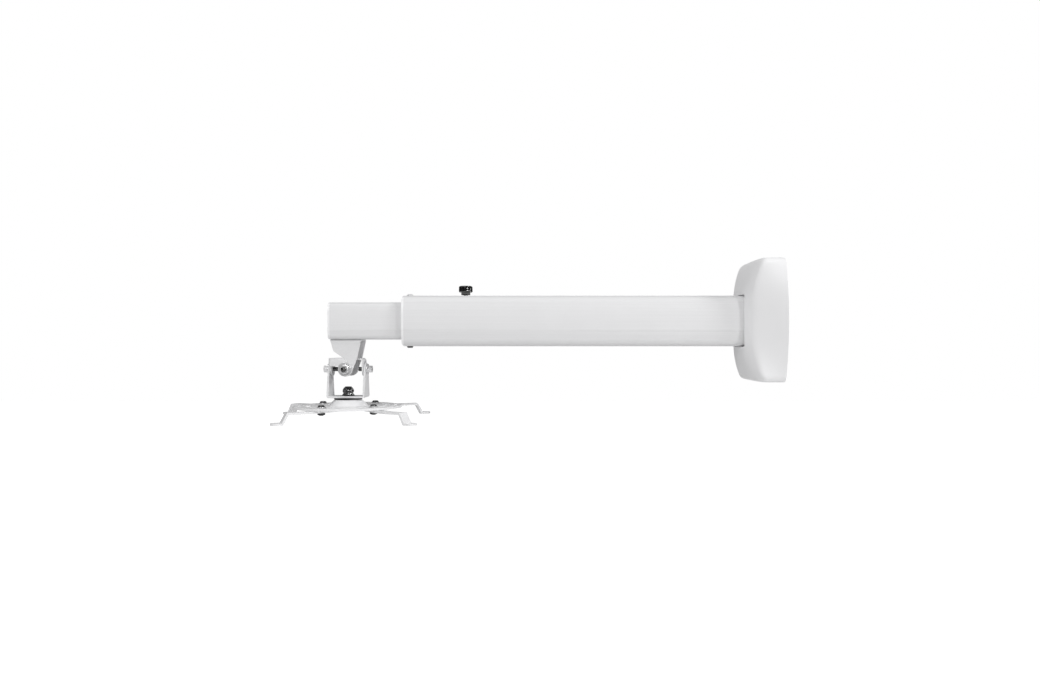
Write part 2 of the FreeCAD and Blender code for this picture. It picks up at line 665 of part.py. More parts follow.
def yoke():
    """Channel bent from one sheet, its ears cut to taper up to a round eye."""
    deep = 3 * YOKE_DROP
    middle = -YOKE_DROP + deep

    def standing(half_u, half_v, radius):
        face = rounded_rectangle(half_u, half_v, radius, lambda u, v: head_place(u, middle + v))
        face.translate(Vector(0, -YOKE_BASE_HALF - 1, 0))
        return face.extrude(Vector(0, 2 * YOKE_BASE_HALF + 2, 0))

    channel = standing(YOKE_OUT, deep, YOKE_BEND_R)
    channel = channel.cut(standing(YOKE_IN, deep - YOKE_SHEET, YOKE_BEND_R - YOKE_SHEET))
    shoulder = on_polar(YOKE_EAR_R, 10)
    base = YOKE_BASE_HALF
    foot = -YOKE_DROP
    ear = [(-base, foot), (base, foot), (base, foot + YOKE_BEND_R), shoulder]
    ear.append(((0, YOKE_EAR_R), (-shoulder[0], shoulder[1])))
    ear.append((-base, foot + YOKE_BEND_R))
    bracket = channel.common(end_prism(ear, HEAD_X - YOKE_OUT - 1, HEAD_X + YOKE_OUT + 1))
    bracket = bracket.cut(rod(head_place(-YOKE_OUT - 1, 0), X_AXIS, TILT_R + FIT, 2 * YOKE_OUT + 2))
    return bracket.cut(rod(Vector(HEAD_X, 0, YOKE_Z - 1), Z_AXIS, SWIVEL_R, YOKE_SHEET + 2))


def swivel_bolt():
    """Upright bolt with its head under the raised centre of the round plate."""
    start = Vector(HEAD_X, 0, DISH_Z - DISC_THICK - GAP)
    top = YOKE_Z + YOKE_SHEET + WASHER_THICK + SWIVEL_NUT + SWIVEL_TIP
    shank = rod(start, Z_AXIS, SWIVEL_R, top - start.z)
    return shank.fuse(hex_bar(start, Z_AXIS.negative(), SWIVEL_FLATS, SWIVEL_HEAD)).removeSplitter()


def swivel_nut():
    start = Vector(HEAD_X, 0, YOKE_Z + YOKE_SHEET + WASHER_THICK)
    nut = hex_bar(start, Z_AXIS, SWIVEL_FLATS, SWIVEL_NUT)
    return nut.cut(rod(start, Z_AXIS, SWIVEL_R, SWIVEL_NUT))


def swivel_washer():
    start = Vector(HEAD_X, 0, YOKE_Z + YOKE_SHEET)
    return washer(start, Z_AXIS, SWIVEL_WASHER_R, SWIVEL_R, WASHER_THICK)


def friction_washer():
    return washer(Vector(HEAD_X, 0, FRICTION_Z), Z_AXIS, FRICTION_R, SWIVEL_R + FIT, FRICTION_THICK)


def arc_slot(radius, half_width, centre, sweep):
    """Curved slot with round ends through the round plate."""
    first = centre - sweep / 2
    last = centre + sweep / 2
    outer = radius + half_width
    inner = radius - half_width
    points = [on_polar(inner, first)]
    points.append((on_polar(radius, first - math.degrees(half_width / radius)), on_polar(outer, first)))
    points.append((on_polar(outer, centre), on_polar(outer, last)))
    points.append((on_polar(radius, last + math.degrees(half_width / radius)), on_polar(inner, last)))
    face = outline(points, lambda u, v: Vector(HEAD_X + u, v, 0))
    closing = Part.Arc(Vector(HEAD_X + points[3][1][0], points[3][1][1], 0),
                       Vector(HEAD_X + on_polar(inner, centre)[0], on_polar(inner, centre)[1], 0),
                       Vector(HEAD_X + points[0][0], points[0][1], 0))
    face = Part.Face(Part.Wire(face.OuterWire.Edges[:-1] + [closing.toShape()]))
    face.translate(Vector(0, 0, DISC_Z - DISC_THICK - 1))
    return face.extrude(Vector(0, 0, DISC_THICK + 2))


def spider_disc():
    """Pressed plate with a raised centre and three rings of arc slots."""
    low = DISC_Z - DISC_THICK
    points = [(0, low + DISH_RISE), (DISH_TOP_R - 1, low + DISH_RISE), (DISH_FOOT_R - 1.6, low)]
    points.append((DISC_R, low))
    points.append((DISC_R, DISC_Z - DISC_EDGE))
    points.append((DISC_R - DISC_EDGE, DISC_Z))
    points.append((DISH_FOOT_R, DISC_Z))
    points.append((DISH_TOP_R + 1, DISH_Z - DISC_EDGE))
    points.append((DISH_TOP_R - 1, DISH_Z))
    points.append((0, DISH_Z))
    profile = outline(points, lambda u, v: Vector(HEAD_X + u, 0, v))
    disc = profile.revolve(Vector(HEAD_X, 0, 0), Z_AXIS, 360)
    disc = disc.cut(rod(Vector(HEAD_X, 0, low - 1), Z_AXIS, SWIVEL_R + FIT, DISH_RISE + DISC_THICK + 2))
    for quarter in range(4):
        disc = disc.cut(arc_slot(RING_R, CLAMP_SLOT_R, 45 + 90 * quarter, RING_SWEEP))
        disc = disc.cut(arc_slot(INNER_RING_R, INNER_RING_SLOT, 90 * quarter, INNER_RING_SWEEP))
        disc = disc.cut(arc_slot(RIM_RING_R, RIM_RING_SLOT, 90 * quarter, RIM_RING_SWEEP))
    return disc


def clamp_place(name):
    """Centre of an arm's screw in plan."""
    u, v = on_polar(RING_R, ARMS[name][0])
    return Vector(HEAD_X + u, v, 0)


def arm(name):
    """Slotted flat bar with an elbow, a step down and a round foot with a hole."""
    ring_angle, bearing, extension, hand = ARMS[name]
    half = ARM_WIDTH / 2
    tail = extension - ARM_BAR
    centre = (tail + half, 0)
    bar = [(centre[0], -half), (extension, -half), (extension, half), (centre[0], half)]
    bar_face = outline(bar, lambda u, v: Vector(u, v, -ARM_THICK))
    bar_solid = bar_face.extrude(Vector(0, 0, ARM_THICK))
    tail_round = rod(Vector(centre[0], 0, -ARM_THICK), Z_AXIS, half, ARM_THICK)
    elbow_round = rod(Vector(extension, 0, -ARM_THICK), Z_AXIS, half, ARM_THICK)

    end = ARM_REACH
    run = ARM_RUN
    slant = ARM_THICK * math.hypot(run, ARM_DROP) / ARM_DROP
    side = [(0, 0), (end, 0), (end + run, -ARM_DROP), (end + run + ARM_FOOT, -ARM_DROP)]
    side.append((end + run + ARM_FOOT, -ARM_DROP - ARM_THICK))
    corner = slant - run * ARM_THICK / ARM_DROP
    side.append((end + run - corner, -ARM_DROP - ARM_THICK))
    side.append((end - corner, -ARM_THICK))
    side.append((0, -ARM_THICK))
    step_face = outline(side, lambda u, v: Vector(u, -half, v))
    step = step_face.extrude(Vector(0, ARM_WIDTH, 0))
    tip = Vector(end + run + ARM_FOOT, 0, -ARM_DROP - ARM_THICK)
    step = step.fuse(rod(tip, Z_AXIS, half, ARM_THICK))
    step = step.cut(rod(tip - Z_AXIS, Z_AXIS, FOOT_HOLE_R, ARM_THICK + 2))
    step.rotate(Vector(0, 0, 0), Z_AXIS, hand * ARM_ELBOW)
    step.translate(Vector(extension, 0, 0))

    blank = joined([bar_solid, tail_round, elbow_round, step])
    first = tail + SLOT_MARGIN
    last = extension - SLOT_MARGIN
    slot = box(first, last, -CLAMP_SLOT_R, CLAMP_SLOT_R, -ARM_THICK - 1, 1)
    for u in (first, last):
        slot = slot.fuse(rod(Vector(u, 0, -ARM_THICK - 1), Z_AXIS, CLAMP_SLOT_R, ARM_THICK + 2))
    shape = blank.cut(slot).removeSplitter()
    shape.rotate(Vector(0, 0, 0), Z_AXIS, bearing)
    shape.translate(clamp_place(name) + Z_AXIS * ARM_Z)
    return shape


def clamp_washer(name):
    start = clamp_place(name) + Z_AXIS * (DISC_Z + GAP)
    return washer(start, Z_AXIS, CLAMP_WASHER_R, CLAMP_R + FIT, CLAMP_WASHER)


def clamp_screw(name):
    """Screw from above the washer down through plate and arm, its tip past the nut."""
    start = clamp_place(name) + Z_AXIS * (DISC_Z + 2 * GAP + CLAMP_WASHER)
    low = ARM_Z - ARM_THICK - GAP - CLAMP_NUT - CLAMP_TIP
    shank = rod(start, Z_AXIS.negative(), CLAMP_R, start.z - low)
    return shank.fuse(pan_head(start, Z_AXIS, CLAMP_HEAD_R, CLAMP_HEAD)).removeSplitter()


def clamp_nut(name):
    start = clamp_place(name) + Z_AXIS * (ARM_Z - ARM_THICK - GAP)
    nut = hex_bar(start, Z_AXIS.negative(), CLAMP_FLATS, CLAMP_NUT)
    return nut.cut(rod(start, Z_AXIS.negative(), CLAMP_R, CLAMP_NUT))


def pieces():
    """Every node's name and shape."""
    made = {
        "wall_plate": wall_plate(),
        "wall_cover": wall_cover(),
        "outer_tube": outer_tube(),
        "tube_screws": tube_screws(),
        "guide_collar": guide_collar(),
        "collar_plug": set_screw(Z_AXIS),
        "collar_screw": set_screw(Z_AXIS.negative()),
        "knob_insert": knob_insert(),
        "lock_knob": lock_knob(),
        "lock_stem": lock_stem(),
        "inner_tube": inner_tube(),
        "inner_end_cap": inner_end_cap(),
        "rear_glide": rear_glide(),
        "hanger_nut_plate": hanger_nut_plate(),
        "hanger_bracket": hanger_bracket(),
        "hanger_screws": hanger_screws(),
        "gimbal_bracket": gimbal_bracket(),
        "roll_bolt": roll_bolt(),
        "roll_nut": roll_nut(),
        "roll_washers": roll_washers(),
        "tilt_bolts": tilt_bolts(),
        "tilt_washers": tilt_washers(),
        "yoke": yoke(),
        "swivel_bolt": swivel_bolt(),
        "swivel_nut": swivel_nut(),
        "swivel_washer": swivel_washer(),
        "friction_washer": friction_washer(),
        "spider_disc": spider_disc(),
    }
    for name in ARMS:
        made["arm_" + name] = arm(name)
        made["clamp_washer_" + name] = clamp_washer(name)
        made["clamp_screw_" + name] = clamp_screw(name)
        made["clamp_nut_" + name] = clamp_nut(name)
    return made


os.makedirs("parts", exist_ok=True)
for node, shape in pieces().items():
    shape.exportStep("parts/" + node + ".step")
    print(node, shape.isValid(), len(shape.Solids), round(shape.Volume, 1))
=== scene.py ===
"""Looks of a telescopic wall mount, in metres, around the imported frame."""
import json
import math

import bmesh
import bpy
import numpy as np
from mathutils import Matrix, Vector


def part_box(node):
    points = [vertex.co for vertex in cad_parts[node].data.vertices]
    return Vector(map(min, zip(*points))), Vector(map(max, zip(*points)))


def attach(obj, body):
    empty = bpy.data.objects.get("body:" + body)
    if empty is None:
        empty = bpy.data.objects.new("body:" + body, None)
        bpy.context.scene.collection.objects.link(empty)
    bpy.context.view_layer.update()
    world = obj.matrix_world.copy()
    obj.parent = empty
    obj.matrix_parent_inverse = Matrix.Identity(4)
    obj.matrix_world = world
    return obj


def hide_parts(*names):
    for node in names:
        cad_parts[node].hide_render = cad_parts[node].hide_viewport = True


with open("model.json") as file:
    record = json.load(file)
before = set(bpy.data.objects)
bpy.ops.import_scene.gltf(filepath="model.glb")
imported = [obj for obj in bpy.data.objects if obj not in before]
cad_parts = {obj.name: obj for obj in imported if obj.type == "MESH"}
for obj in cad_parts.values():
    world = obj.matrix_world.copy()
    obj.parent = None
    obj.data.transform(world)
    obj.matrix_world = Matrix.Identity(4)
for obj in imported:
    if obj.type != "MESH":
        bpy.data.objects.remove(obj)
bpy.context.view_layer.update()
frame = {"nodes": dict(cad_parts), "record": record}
MM = 0.001

# Photograph's frame, in its pixels
PHOTO_WIDTH = 1040
PHOTO_HEIGHT = 680
AXIS_X = 560                # column and row of the optical axis
AXIS_Y = 344
FOCAL = 820                 # focal length
WALL_X = 772.5              # column of the wall's plane
TUBES_Y = 321.2             # row of the tubes' axis
PIXEL = 1.2 * MM            # size of a pixel at the tubes' axis plane
SENSOR = 36.0               # camera's sensor width in mm
CLIP_START = 0.01

# Places read from the frame
SLOT_OF = {row["node"]: row["material_slot"] for row in frame["record"]["subparts"]}
BODY_OF = {node: body for body, nodes in frame["record"]["behaviour"]["bodies"].items()
           for node in nodes}


# Pieces
SAME_POINT = 1e-7           # points of a skin this close are one
SAME_CAD_POINT = 2e-6       # points of a CAD mesh this close are one
FLAT_ANGLE = 0.5            # facets that meet within this many degrees are one face
SHARP_ANGLE = 32            # edges sharper than this many degrees are rounded
EDGE_SEGMENTS = 2


def link(piece):
    """Adds an object to the scene."""
    bpy.context.scene.collection.objects.link(piece)
    return piece


def skin(name, grid, wrap_rows=False):
    """Closed surface over a grid of points: rows by columns by 3. Columns always wrap round.

    Rows wrap too if asked; otherwise each open end gets a pole at its middle, so no seam is left.
    """
    grid = np.asarray(grid, dtype=float)
    rows, columns = grid.shape[:2]
    points = grid.reshape(-1, 3)
    row = np.arange(rows if wrap_rows else rows - 1)[:, None]
    column = np.arange(columns)[None, :]
    next_row = (row + 1) % rows
    next_column = (column + 1) % columns
    quads = np.stack([
        row * columns + column,
        row * columns + next_column,
        next_row * columns + next_column,
        next_row * columns + column,
    ], axis=-1).reshape(-1, 4)
    faces = quads.tolist()
    if not wrap_rows:
        points = np.vstack([points, grid[0].mean(0), grid[-1].mean(0)])
        first_pole = np.full(columns, rows * columns)
        turn = np.arange(columns)
        after = (turn + 1) % columns
        base = (rows - 1) * columns
        faces += np.stack([after, turn, first_pole], axis=-1).tolist()
        faces += np.stack([base + turn, base + after, first_pole + 1], axis=-1).tolist()
    mesh = bpy.data.meshes.new(name)
    mesh.from_pydata(points.tolist(), [], faces)
    mesh.update()
    work = bmesh.new()
    work.from_mesh(mesh)
    bmesh.ops.remove_doubles(work, verts=work.verts, dist=SAME_POINT)
    bmesh.ops.recalc_face_normals(work, faces=work.faces)
    work.to_mesh(mesh)
    work.free()
    mesh.shade_smooth()
    return link(bpy.data.objects.new(name, mesh))


def turned(name, middle, angle, radius, height):
    """Skin round an upright axis through the middle: rows of radius and height, one column for
    each angle."""
    return skin(name, np.stack([
        middle[0] + radius * np.cos(angle),
        middle[1] + radius * np.sin(angle),
        np.broadcast_to(height, radius.shape),
    ], axis=-1))


def place_on(piece, node):
    """The piece takes the body, the finish and the place of a CAD node."""
    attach(piece, BODY_OF[node])
    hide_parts(node)
    piece.data.materials.clear()
    piece.data.materials.append(FINISH[SLOT_OF[node]])


def softened(node, width):
    """Copy of a CAD node with its facets merged and its sharp edges rounded."""
    mesh = bpy.data.meshes.new(node + "_finished")
    work = bmesh.new()
    work.from_mesh(frame["nodes"][node].data)
    bmesh.ops.remove_doubles(work, verts=work.verts, dist=SAME_CAD_POINT)
    bmesh.ops.dissolve_limit(work, angle_limit=math.radians(FLAT_ANGLE), verts=work.verts,
                             edges=work.edges)
    work.to_mesh(mesh)
    work.free()
    mesh.shade_smooth()
    piece = link(bpy.data.objects.new(node + "_finished", mesh))
    edge = piece.modifiers.new("soft_edge", "BEVEL")
    edge.width = width
    edge.segments = EDGE_SEGMENTS
    edge.limit_method = "ANGLE"
    edge.angle_limit = math.radians(SHARP_ANGLE)
    edge.use_clamp_overlap = True
    flat = piece.modifiers.new("flat_faces", "WEIGHTED_NORMAL")
    flat.keep_sharp = True
    place_on(piece, node)
    return piece


# Finishes
DRAWN_SCALE = (4.0, 1400.0, 1400.0)     # lines drawn along X: long in X, fine across it
BROAD_SCALE = 26.0                      # mottling, in cells to a metre
GRAIN_DETAIL = 3.0
LOW_DETAIL = 2.0                        # for the lines and the mottling
LINE_TINT = 0.12                        # how much the drawn lines tint the colour
EDGE_FROM, EDGE_TO = 0.51, 0.6          # pointiness at which edge wear and a painted edge highlight start and are full


def add_node(tree, kind, inputs=None, **settings):
    """New node with its settings. Each input is a value, or an output socket to link from."""
    node = tree.nodes.new(kind)
    for name, value in settings.items():
        setattr(node, name, value)
    for key, value in (inputs or {}).items():
        if isinstance(value, bpy.types.NodeSocket):
            tree.links.new(value, node.inputs[key])
        else:
            node.inputs[key].default_value = value
    return node


def maths(tree, operation, *values):
    """Output of a Math node over values or sockets."""
    return add_node(tree, "ShaderNodeMath", dict(enumerate(values)),
                    operation=operation).outputs[0]


def noise(tree, vector, scale, detail):
    """Output of a Noise texture, about 0.5 on average."""
    return add_node(tree, "ShaderNodeTexNoise",
                    {"Vector": vector, "Scale": scale, "Detail": detail}).outputs["Fac"]


def surface_group():
    """Height, tint and roughness of a finish: fine grain, broad mottling, lines drawn along X, a
    bow across a drawn tube's faces, and pointed edges lightened, partly as wear and partly as a
    painted highlight."""
    tree = bpy.data.node_groups.new("surface_texture", "ShaderNodeTree")
    tree.interface.new_socket("Base", in_out="INPUT", socket_type="NodeSocketColor")
    for name in ("Mottle", "Grain Scale", "Grain", "Lines", "Bow", "Roughness",
                 "Roughness Spread", "Edge Wear And Highlight"):
        tree.interface.new_socket(name, in_out="INPUT", socket_type="NodeSocketFloat")
    tree.interface.new_socket("Color", in_out="OUTPUT", socket_type="NodeSocketColor")
    for name in ("Roughness", "Height"):
        tree.interface.new_socket(name, in_out="OUTPUT", socket_type="NodeSocketFloat")
    given = tree.nodes.new("NodeGroupInput").outputs
    place = tree.nodes.new("ShaderNodeTexCoord").outputs["Object"]

    grain = noise(tree, place, given["Grain Scale"], GRAIN_DETAIL)
    stretched = add_node(tree, "ShaderNodeMapping", {"Vector": place, "Scale": DRAWN_SCALE})
    drawn = noise(tree, stretched.outputs["Vector"], 1.0, LOW_DETAIL)
    broad = noise(tree, place, BROAD_SCALE, LOW_DETAIL)

    across = add_node(tree, "ShaderNodeVectorMath", {0: place, 1: (0.0, 1.0, 1.0)},
                      operation="MULTIPLY").outputs[0]
    squared = add_node(tree, "ShaderNodeVectorMath", {0: across, 1: across},
                       operation="DOT_PRODUCT").outputs["Value"]
    fine = maths(tree, "ADD", maths(tree, "MULTIPLY", grain, given["Grain"]),
                 maths(tree, "MULTIPLY", drawn, given["Lines"]))
    height = maths(tree, "MULTIPLY_ADD", squared, given["Bow"], fine)

    patch = maths(tree, "SUBTRACT", broad, 0.5)
    mottled = maths(tree, "MULTIPLY", patch, given["Mottle"])
    streak = maths(tree, "MULTIPLY", maths(tree, "SUBTRACT", drawn, 0.5), given["Lines"])
    lined = maths(tree, "MULTIPLY_ADD", streak, LINE_TINT, mottled)
    # Pointed edges are lightened: partly edge wear, partly a painted highlight along them
    pointed = tree.nodes.new("ShaderNodeNewGeometry").outputs["Pointiness"]
    edge = add_node(tree, "ShaderNodeMapRange",
                    {"Value": pointed, "From Min": EDGE_FROM, "From Max": EDGE_TO})
    rubbed_and_lit_edge = maths(tree, "MULTIPLY", edge.outputs["Result"], grain)
    tint_shift_with_lit_edges = maths(tree, "MULTIPLY_ADD", rubbed_and_lit_edge, given["Edge Wear And Highlight"], lined)
    tint = add_node(tree, "ShaderNodeVectorMath",
                    {0: given["Base"], "Scale": maths(tree, "ADD", tint_shift_with_lit_edges, 1.0)},
                    operation="SCALE").outputs[0]
    roughness = maths(tree, "MULTIPLY_ADD", patch, given["Roughness Spread"], given["Roughness"])
    add_node(tree, "NodeGroupOutput", {"Color": tint, "Roughness": roughness, "Height": height})
    return tree


SURFACE = surface_group()


def finish(name, base, roughness, metallic=0.0, mottle=0.04, grain_scale=900.0, grain=0.5,
           lines=0.0, spread=0.1, depth=0.02, index=1.5, specular=0.5, bow=0.0, wear_and_edge_highlight=0.05):
    """One material: the surface texture feeds colour, roughness and bump of a Principled shader.

    Depth is the bump's in mm. Bow is the curvature of a drawn tube's faces in 1/m: their height
    falls by it times the squared distance from the tube's axis.
    """
    material = bpy.data.materials.new(name)
    material.use_nodes = True
    tree = material.node_tree
    tree.nodes.clear()
    texture = add_node(tree, "ShaderNodeGroup", node_tree=SURFACE)
    for key, value in (("Base", (*base, 1.0)), ("Mottle", mottle), ("Grain Scale", grain_scale),
                       ("Grain", grain), ("Lines", lines), ("Bow", -bow / (depth * MM)),
                       ("Edge Wear And Highlight", wear_and_edge_highlight), ("Roughness", roughness), ("Roughness Spread", spread)):
        texture.inputs[key].default_value = value
    bump = add_node(tree, "ShaderNodeBump", {
        "Distance": depth * MM, "Strength": 1.0, "Height": texture.outputs["Height"]})
    shader = add_node(tree, "ShaderNodeBsdfPrincipled", {
        "Base Color": texture.outputs["Color"], "Roughness": texture.outputs["Roughness"],
        "Normal": bump.outputs["Normal"], "Metallic": metallic, "IOR": index,
        "Specular IOR Level": specular})
    add_node(tree, "ShaderNodeOutputMaterial", {"Surface": shader.outputs["BSDF"]})
    return material


def grey(level):
    """Linear grey, a trace cool, of a display value from 0 to 255."""
    linear = ((level / 255 + 0.055) / 1.055) ** 2.4
    return (linear, linear, linear * 1.01)


# Each finish's edge value lightens pointed edges: partly wear, partly a painted edge highlight
LOOKS = {
    "coated_aluminium": dict(base=grey(228), roughness=0.52, mottle=0.03, grain=0.3, lines=0.8,
                             depth=0.006, specular=0.35, bow=3.0),
    "coated_steel": dict(base=grey(224), roughness=0.42, grain_scale=700.0, grain=0.6,
                         depth=0.002, wear_and_edge_highlight=0.3),
    "white_steel": dict(base=grey(240), roughness=0.4, mottle=0.03, grain_scale=500.0, grain=0.6,
                        depth=0.001, wear_and_edge_highlight=0.12),
    "zinc_plate": dict(base=grey(190), roughness=0.35, metallic=1.0, mottle=0.25, grain=0.3,
                       depth=0.006),
    "cover_plastic": dict(base=grey(243), roughness=0.5, mottle=0.03, grain_scale=2000.0,
                          grain=1.0, depth=0.005),
    "trim_plastic": dict(base=grey(243), roughness=0.35, mottle=0.02, grain_scale=1500.0,
                         grain=0.3, depth=0.004),
    "slide_plastic": dict(base=grey(222), roughness=0.5, grain_scale=1500.0, grain=0.4,
                          depth=0.005),
    "black_plastic": dict(base=grey(2), roughness=0.14, grain=0.2, depth=0.003, index=1.85,
                          specular=0.8, wear_and_edge_highlight=2.0),
    "black_nylon": dict(base=grey(9), roughness=0.55, grain_scale=1500.0, grain=0.6, depth=0.006,
                        specular=0.3),
    "black_steel": dict(base=grey(3), roughness=0.16, grain_scale=1300.0, grain=0.3, depth=0.003,
                        index=1.8, specular=0.75, wear_and_edge_highlight=3.0),
    "bright_steel": dict(base=grey(236), roughness=0.32, metallic=0.78, mottle=0.12,
                         grain_scale=1300.0, grain=0.4, depth=0.004),
}
FINISH = {name: finish(name, **look) for name, look in LOOKS.items()}

for node, piece in frame["nodes"].items():
    piece.data.materials.clear()
    piece.data.materials.append(FINISH[SLOT_OF[node]])


# Wall cover: half sizes across (Y) and upward (Z), depths from the wall along -X
COVER_HEIGHT = 71.0 * MM
COVER_WIDTH = 73.0 * MM                 # half the width at the wall, half way up
COVER_WAIST = 40.4 * MM                 # the same at the full depth
COVER_CORNER = 60.0 * MM                # half the width at the level ends
COVER_DEPTH = 44.5 * MM
COVER_WALL = 2.5 * MM
COVER_OPENING = 30.6 * MM
OPENING_ROUND = 2.0 * MM
COVER_RIM = 0.3 * MM                    # gap between the rim and the wall
COVER_LEAN = (COVER_WIDTH - COVER_WAIST) / COVER_DEPTH
# How far the front falls back, at what distance from the middle, and by what power
FALL_ACROSS = (11.0 * MM, 52.0 * MM, 2.0)
FALL_UPWARD = (14.0 * MM, 70.0 * MM, 2.7)
# Points on each stretch of a ring, and shares of the way at which rings stand
LEVEL_POINTS = 24
CORNER_POINTS = 10
FLANK_POINTS = 40
RING_POINTS = 2 * (LEVEL_POINTS + FLANK_POINTS) + 4 * CORNER_POINTS
SIDE_SHARES = (0, 0.01, *np.linspace(0.05, 1, 8))
EDGE_SHARES = np.linspace(0, 1, 9)[1:]
FRONT_SHARES = (*np.linspace(0, 0.97, 14)[1:], 0.995, 1)
FIRST_DEPTH = 30.0 * MM                 # guess at where the side meets the front
MEETING_ROUNDS = 12                     # steps that mend it
# Rounding of the edge before the front, and of the corners
OUTER_ROUNDS = (6.0 * MM, 9.0 * MM)
INNER_ROUNDS = (4.0 * MM, 7.0 * MM)


def bezier(share, start, pull, end):
    """Quadratic curve from a start to an end, drawn towards a third point."""
    return (1 - share) ** 2 * start + 2 * share * (1 - share) * pull + share ** 2 * end


def cover_front(y, z, inset):
    """Depth of the front: the full depth less the root of two squared falls, one across and a
    steeper one upward."""
    falls = [fall * (np.abs(way) / reach) ** power
             for way, (fall, reach, power) in ((y, FALL_ACROSS), (z, FALL_UPWARD))]
    return COVER_DEPTH - inset - np.hypot(*falls)


def cover_outline(depth, inset, corner_round):
    """Closed ring at a depth for each point: level ends, flanks bowed as a parabola and rounded
    corners. The second half is the first, turned half round."""
    height = COVER_HEIGHT - inset
    corner = COVER_CORNER - inset
    reach_y = corner - corner_round
    reach_z = height - corner_round
    level = np.linspace(-1, 1, LEVEL_POINTS, endpoint=False) * reach_y
    flank = np.linspace(1, -1, FLANK_POINTS, endpoint=False) * reach_z
    turn = np.linspace(0, 1, CORNER_POINTS, endpoint=False)
    ends = np.cumsum((LEVEL_POINTS, CORNER_POINTS, FLANK_POINTS))

    def bowed(z_value, part):
        waist = COVER_WIDTH - inset - COVER_LEAN * part
        return waist + (corner - waist) * (z_value / height) ** 2

    def rounded(share, part):
        return (bezier(share, reach_y, bowed(height, part), bowed(reach_z, part)),
                bezier(share, height, height, reach_z))

    y = []
    z = []
    for sign, half in zip((1, -1), np.split(np.broadcast_to(depth, (RING_POINTS,)), 2)):
        _, first_part, flank_part, last_part = np.split(half, ends)
        first_y, first_z = rounded(turn, first_part)
        last_y, last_z = rounded(1 - turn, last_part)
        y += [sign * level, sign * first_y, sign * bowed(flank, flank_part), sign * last_y]
        z += [np.full(LEVEL_POINTS, sign * height), sign * first_z, sign * flank, -sign * last_z]
    return np.concatenate(y), np.concatenate(z)


def opening_outline(half, corner_round):
    """Rounded square with as many points on each stretch as the cover's outline."""
    inner = half - corner_round
    level = np.linspace(-1, 1, LEVEL_POINTS, endpoint=False) * inner
    flank = np.linspace(1, -1, FLANK_POINTS, endpoint=False) * inner
    turn = np.linspace(0, math.pi / 2, CORNER_POINTS, endpoint=False)
    rise = inner + corner_round * np.sin(turn)
    fall = inner + corner_round * np.cos(turn)
    y = np.concatenate([level, rise, np.full(FLANK_POINTS, half), fall])
    z = np.concatenate([np.full(LEVEL_POINTS, half), fall, flank, -rise])
    return np.concatenate([y, -y]), np.concatenate([z, -z])


def cover_shell(inset, edge_round, corner_round):
    """Rings from the wall over the side, a rounded edge and the front to the opening."""
    depth = np.full(RING_POINTS, FIRST_DEPTH)
    for _ in range(MEETING_ROUNDS):
        y, z = cover_outline(depth, inset, corner_round)
        depth = 0.5 * depth + 0.5 * cover_front(y, z, inset)
    edge_y, edge_z = cover_outline(depth, inset, corner_round)
    edge = np.stack([-depth, edge_y, edge_z], axis=-1)
    open_y, open_z = opening_outline(COVER_OPENING, OPENING_ROUND)
    rings = []
    side_end = depth - edge_round
    for share in SIDE_SHARES:
        part = COVER_RIM + (side_end - COVER_RIM) * share
        y, z = cover_outline(part, inset, corner_round)
        rings.append(np.stack([-part, y, z], axis=-1))
    lead = edge_round / np.hypot(open_y - edge_y, open_z - edge_z)
    first_y = edge_y + (open_y - edge_y) * lead
    first_z = edge_z + (open_z - edge_z) * lead
    on_front = np.stack([-cover_front(first_y, first_z, inset), first_y, first_z], axis=-1)
    on_side = rings[-1]
    rings += [bezier(share, on_side, edge, on_front) for share in EDGE_SHARES]
    for share in FRONT_SHARES:
        y = first_y + (open_y - first_y) * share
        z = first_z + (open_z - first_z) * share
        rings.append(np.stack([-cover_front(y, z, inset), y, z], axis=-1))
    return rings


def wall_cover():
    """Thin moulded shell: the outer rings, then the same rings set in by the wall, back to the
    rim."""
    outer = cover_shell(0.0, *OUTER_ROUNDS)
    inner = cover_shell(COVER_WALL, *INNER_ROUNDS)
    piece = skin("wall_cover_finished", np.stack(outer + inner[::-1]), wrap_rows=True)
    place_on(piece, "wall_cover")


# Lock knob
KNOB_CAP = 7.7 * MM                     # height of the lobed cap
KNOB_BOSS = 5.4 * MM                    # radius of the boss under it
KNOB_FOOT = 0.3 * MM                    # ring this far over the boss's foot
KNOB_NECK = 0.2 * MM                    # ring this far under the cap
KNOB_FLARE = 0.3 * MM                   # widening between that ring and the cap
KNOB_LOW_ROUND = 1.3 * MM
KNOB_TOP_ROUND = 1.9 * MM
KNOB_RIM_START = 1.6 * MM               # height in the cap from which the rim narrows
KNOB_RIM_END = 0.1 * MM                 # its end, this far under the top rounding
KNOB_LEAN = 0.12 * MM                   # how much it narrows
KNOB_DISH = ((0.6, 0.0), (0.54, 0.4 * MM), (0.3, 0.5 * MM))     # share of the radius, depth
KNOB_ARC = 9                            # points of each rounding
KNOB_HOLLOWS = 7
KNOB_TURN = 0.6                         # angle of the hollows at rest, in radians
KNOB_HOLLOW = 0.14                      # their depth as a share of the radius
KNOB_HOLLOW_POWER = 1.2                 # above 1 the hollows are narrower than the lobes
KNOB_HOLLOW_FROM = 0.7                  # share of the full radius at which they start
KNOB_COLUMNS = 140


